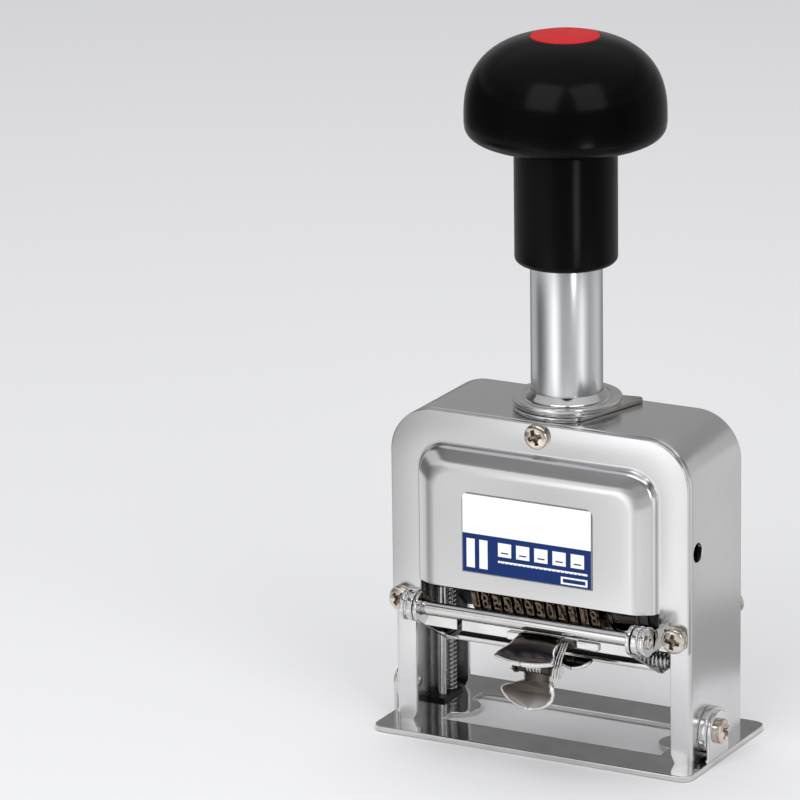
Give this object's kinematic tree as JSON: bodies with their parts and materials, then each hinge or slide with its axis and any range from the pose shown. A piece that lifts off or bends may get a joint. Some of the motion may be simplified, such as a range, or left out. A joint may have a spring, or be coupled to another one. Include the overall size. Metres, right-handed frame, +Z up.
{
  "type": "numbering machine",
  "caption": "Hand numbering machine: push-down handle, arched metal frame, number wheels, swinging ink pad and base with a print window.",
  "frame": {"origin": "print point on the surface, below the plunger's axis", "axes": "+Z up along the plunger, +Y towards the rear, +X to the right seen from the front"},
  "size_m": [0.1014, 0.0651, 0.1959],
  "materials": {
    "satin_frame": "satin",
    "satin_cover": "satin",
    "polished": "polished",
    "screw_nickel": "polished",
    "dark_steel": "polished",
    "spring_steel": "satin",
    "tube_steel": "satin",
    "type_metal": "satin",
    "handle_black": "gloss",
    "disc_red": "satin",
    "label_film": "satin",
    "felt": "matte"
  },
  "bodies": {
    "frame": {"outer_frame": "satin_frame", "front_cover": "satin_cover", "rear_cover": "satin_cover", "label": "label_film", "front_cover_screws": "screw_nickel", "rear_cover_screws": "screw_nickel", "hinge_rod": "polished", "rod_bracket_left": "polished", "rod_bracket_right": "polished", "base_plate": "polished", "base_spacers": "polished", "base_screws": "screw_nickel", "top_bush": "polished", "bush_nut": "dark_steel", "foot_blocks": "dark_steel", "guide_rods": "spring_steel", "spring_rods": "spring_steel", "leg_spring_left": "spring_steel", "leg_spring_right": "spring_steel"},
    "carriage": {"plunger_tube": "tube_steel", "tube_plugs": "dark_steel", "yoke_bolt": "dark_steel", "handle_knob": "handle_black", "handle_screw": "dark_steel", "red_disc": "disc_red", "carriage_yoke": "dark_steel", "wheel_shaft": "spring_steel", "shaft_clips": "dark_steel", "end_drum": "dark_steel", "end_spacer": "dark_steel", "tie_bars": "dark_steel", "detent_springs": "spring_steel"},
    "pawls": {"pawl_arms": "dark_steel", "pawl_bar": "dark_steel", "feed_pawls": "type_metal"},
    "wheel_01": {"type_wheel_01": "type_metal"},
    "wheel_02": {"type_wheel_02": "type_metal"},
    "wheel_03": {"type_wheel_03": "type_metal"},
    "wheel_04": {"type_wheel_04": "type_metal"},
    "wheel_05": {"type_wheel_05": "type_metal"},
    "wheel_06": {"type_wheel_06": "type_metal"},
    "wheel_07": {"type_wheel_07": "type_metal"},
    "wheel_08": {"type_wheel_08": "type_metal"},
    "wheel_09": {"type_wheel_09": "type_metal"},
    "wheel_10": {"type_wheel_10": "type_metal"},
    "wheel_11": {"type_wheel_11": "type_metal"},
    "wheel_12": {"type_wheel_12": "type_metal"},
    "pad": {"pad_cradle": "polished", "pad_tray": "polished", "ink_pad": "felt", "stud_spring": "spring_steel", "upper_tab": "polished", "tab_pin": "polished", "tab_spring": "spring_steel"},
    "latch": {"lower_tab": "polished"},
    "lever": {"lock_lever": "polished"}
  },
  "joints": [
    {"name": "plunger_slide", "type": "slide", "parent": "frame", "child": "carriage", "axis": [0, 0, -1], "range_m": [0, 0.03], "stiffness_N_per_m": 400, "springref_m": -0.03, "deforming": ["leg_spring_left", "leg_spring_right"]},
    {"name": "pad_swing", "type": "hinge", "parent": "frame", "child": "pad", "pos_m": [0, -0.025, 0.03835], "axis": [-1, 0, 0], "range_deg": [0, 90]},
    {"name": "pawl_rock", "type": "hinge", "parent": "carriage", "child": "pawls", "pos_m": [0, 0, 0.0403], "axis": [-1, 0, 0], "range_deg": [0, 36]},
    {"name": "latch_squeeze", "type": "hinge", "parent": "pad", "child": "latch", "pos_m": [0.0044, -0.028, 0.0276], "axis": [-1, 0, 0], "range_deg": [0, 18], "stiffness_Nm_per_rad": 0.05, "springref_deg": -20.05},
    {"name": "lock_turn", "type": "hinge", "parent": "frame", "child": "lever", "pos_m": [0, 0, 0.0931], "axis": [0, 0, 1], "range_deg": [0, 50]},
    {"name": "wheel_01_spin", "type": "hinge", "parent": "carriage", "child": "wheel_01", "pos_m": [-0.0234, 0, 0.0403], "axis": [1, 0, 0], "continuous": true},
    {"name": "wheel_02_spin", "type": "hinge", "parent": "carriage", "child": "wheel_02", "pos_m": [-0.02008, 0, 0.0403], "axis": [1, 0, 0], "continuous": true},
    {"name": "wheel_03_spin", "type": "hinge", "parent": "carriage", "child": "wheel_03", "pos_m": [-0.01675, 0, 0.0403], "axis": [1, 0, 0], "continuous": true},
    {"name": "wheel_04_spin", "type": "hinge", "parent": "carriage", "child": "wheel_04", "pos_m": [-0.01343, 0, 0.0403], "axis": [1, 0, 0], "continuous": true},
    {"name": "wheel_05_spin", "type": "hinge", "parent": "carriage", "child": "wheel_05", "pos_m": [-0.0101, 0, 0.0403], "axis": [1, 0, 0], "continuous": true},
    {"name": "wheel_06_spin", "type": "hinge", "parent": "carriage", "child": "wheel_06", "pos_m": [-0.00678, 0, 0.0403], "axis": [1, 0, 0], "continuous": true},
    {"name": "wheel_07_spin", "type": "hinge", "parent": "carriage", "child": "wheel_07", "pos_m": [-0.00345, 0, 0.0403], "axis": [1, 0, 0], "continuous": true},
    {"name": "wheel_08_spin", "type": "hinge", "parent": "carriage", "child": "wheel_08", "pos_m": [-0.00013, 0, 0.0403], "axis": [1, 0, 0], "continuous": true},
    {"name": "wheel_09_spin", "type": "hinge", "parent": "carriage", "child": "wheel_09", "pos_m": [0.0032, 0, 0.0403], "axis": [1, 0, 0], "continuous": true},
    {"name": "wheel_10_spin", "type": "hinge", "parent": "carriage", "child": "wheel_10", "pos_m": [0.00652, 0, 0.0403], "axis": [1, 0, 0], "continuous": true},
    {"name": "wheel_11_spin", "type": "hinge", "parent": "carriage", "child": "wheel_11", "pos_m": [0.00985, 0, 0.0403], "axis": [1, 0, 0], "continuous": true},
    {"name": "wheel_12_spin", "type": "hinge", "parent": "carriage", "child": "wheel_12", "pos_m": [0.01317, 0, 0.0403], "axis": [1, 0, 0], "continuous": true}
  ],
  "couplings": [
    {"joint": "pad_swing", "follows": "plunger_slide", "rad_per_m": 52.359},
    {"joint": "pawl_rock", "follows": "plunger_slide", "rad_per_m": 20.943}
  ]
}
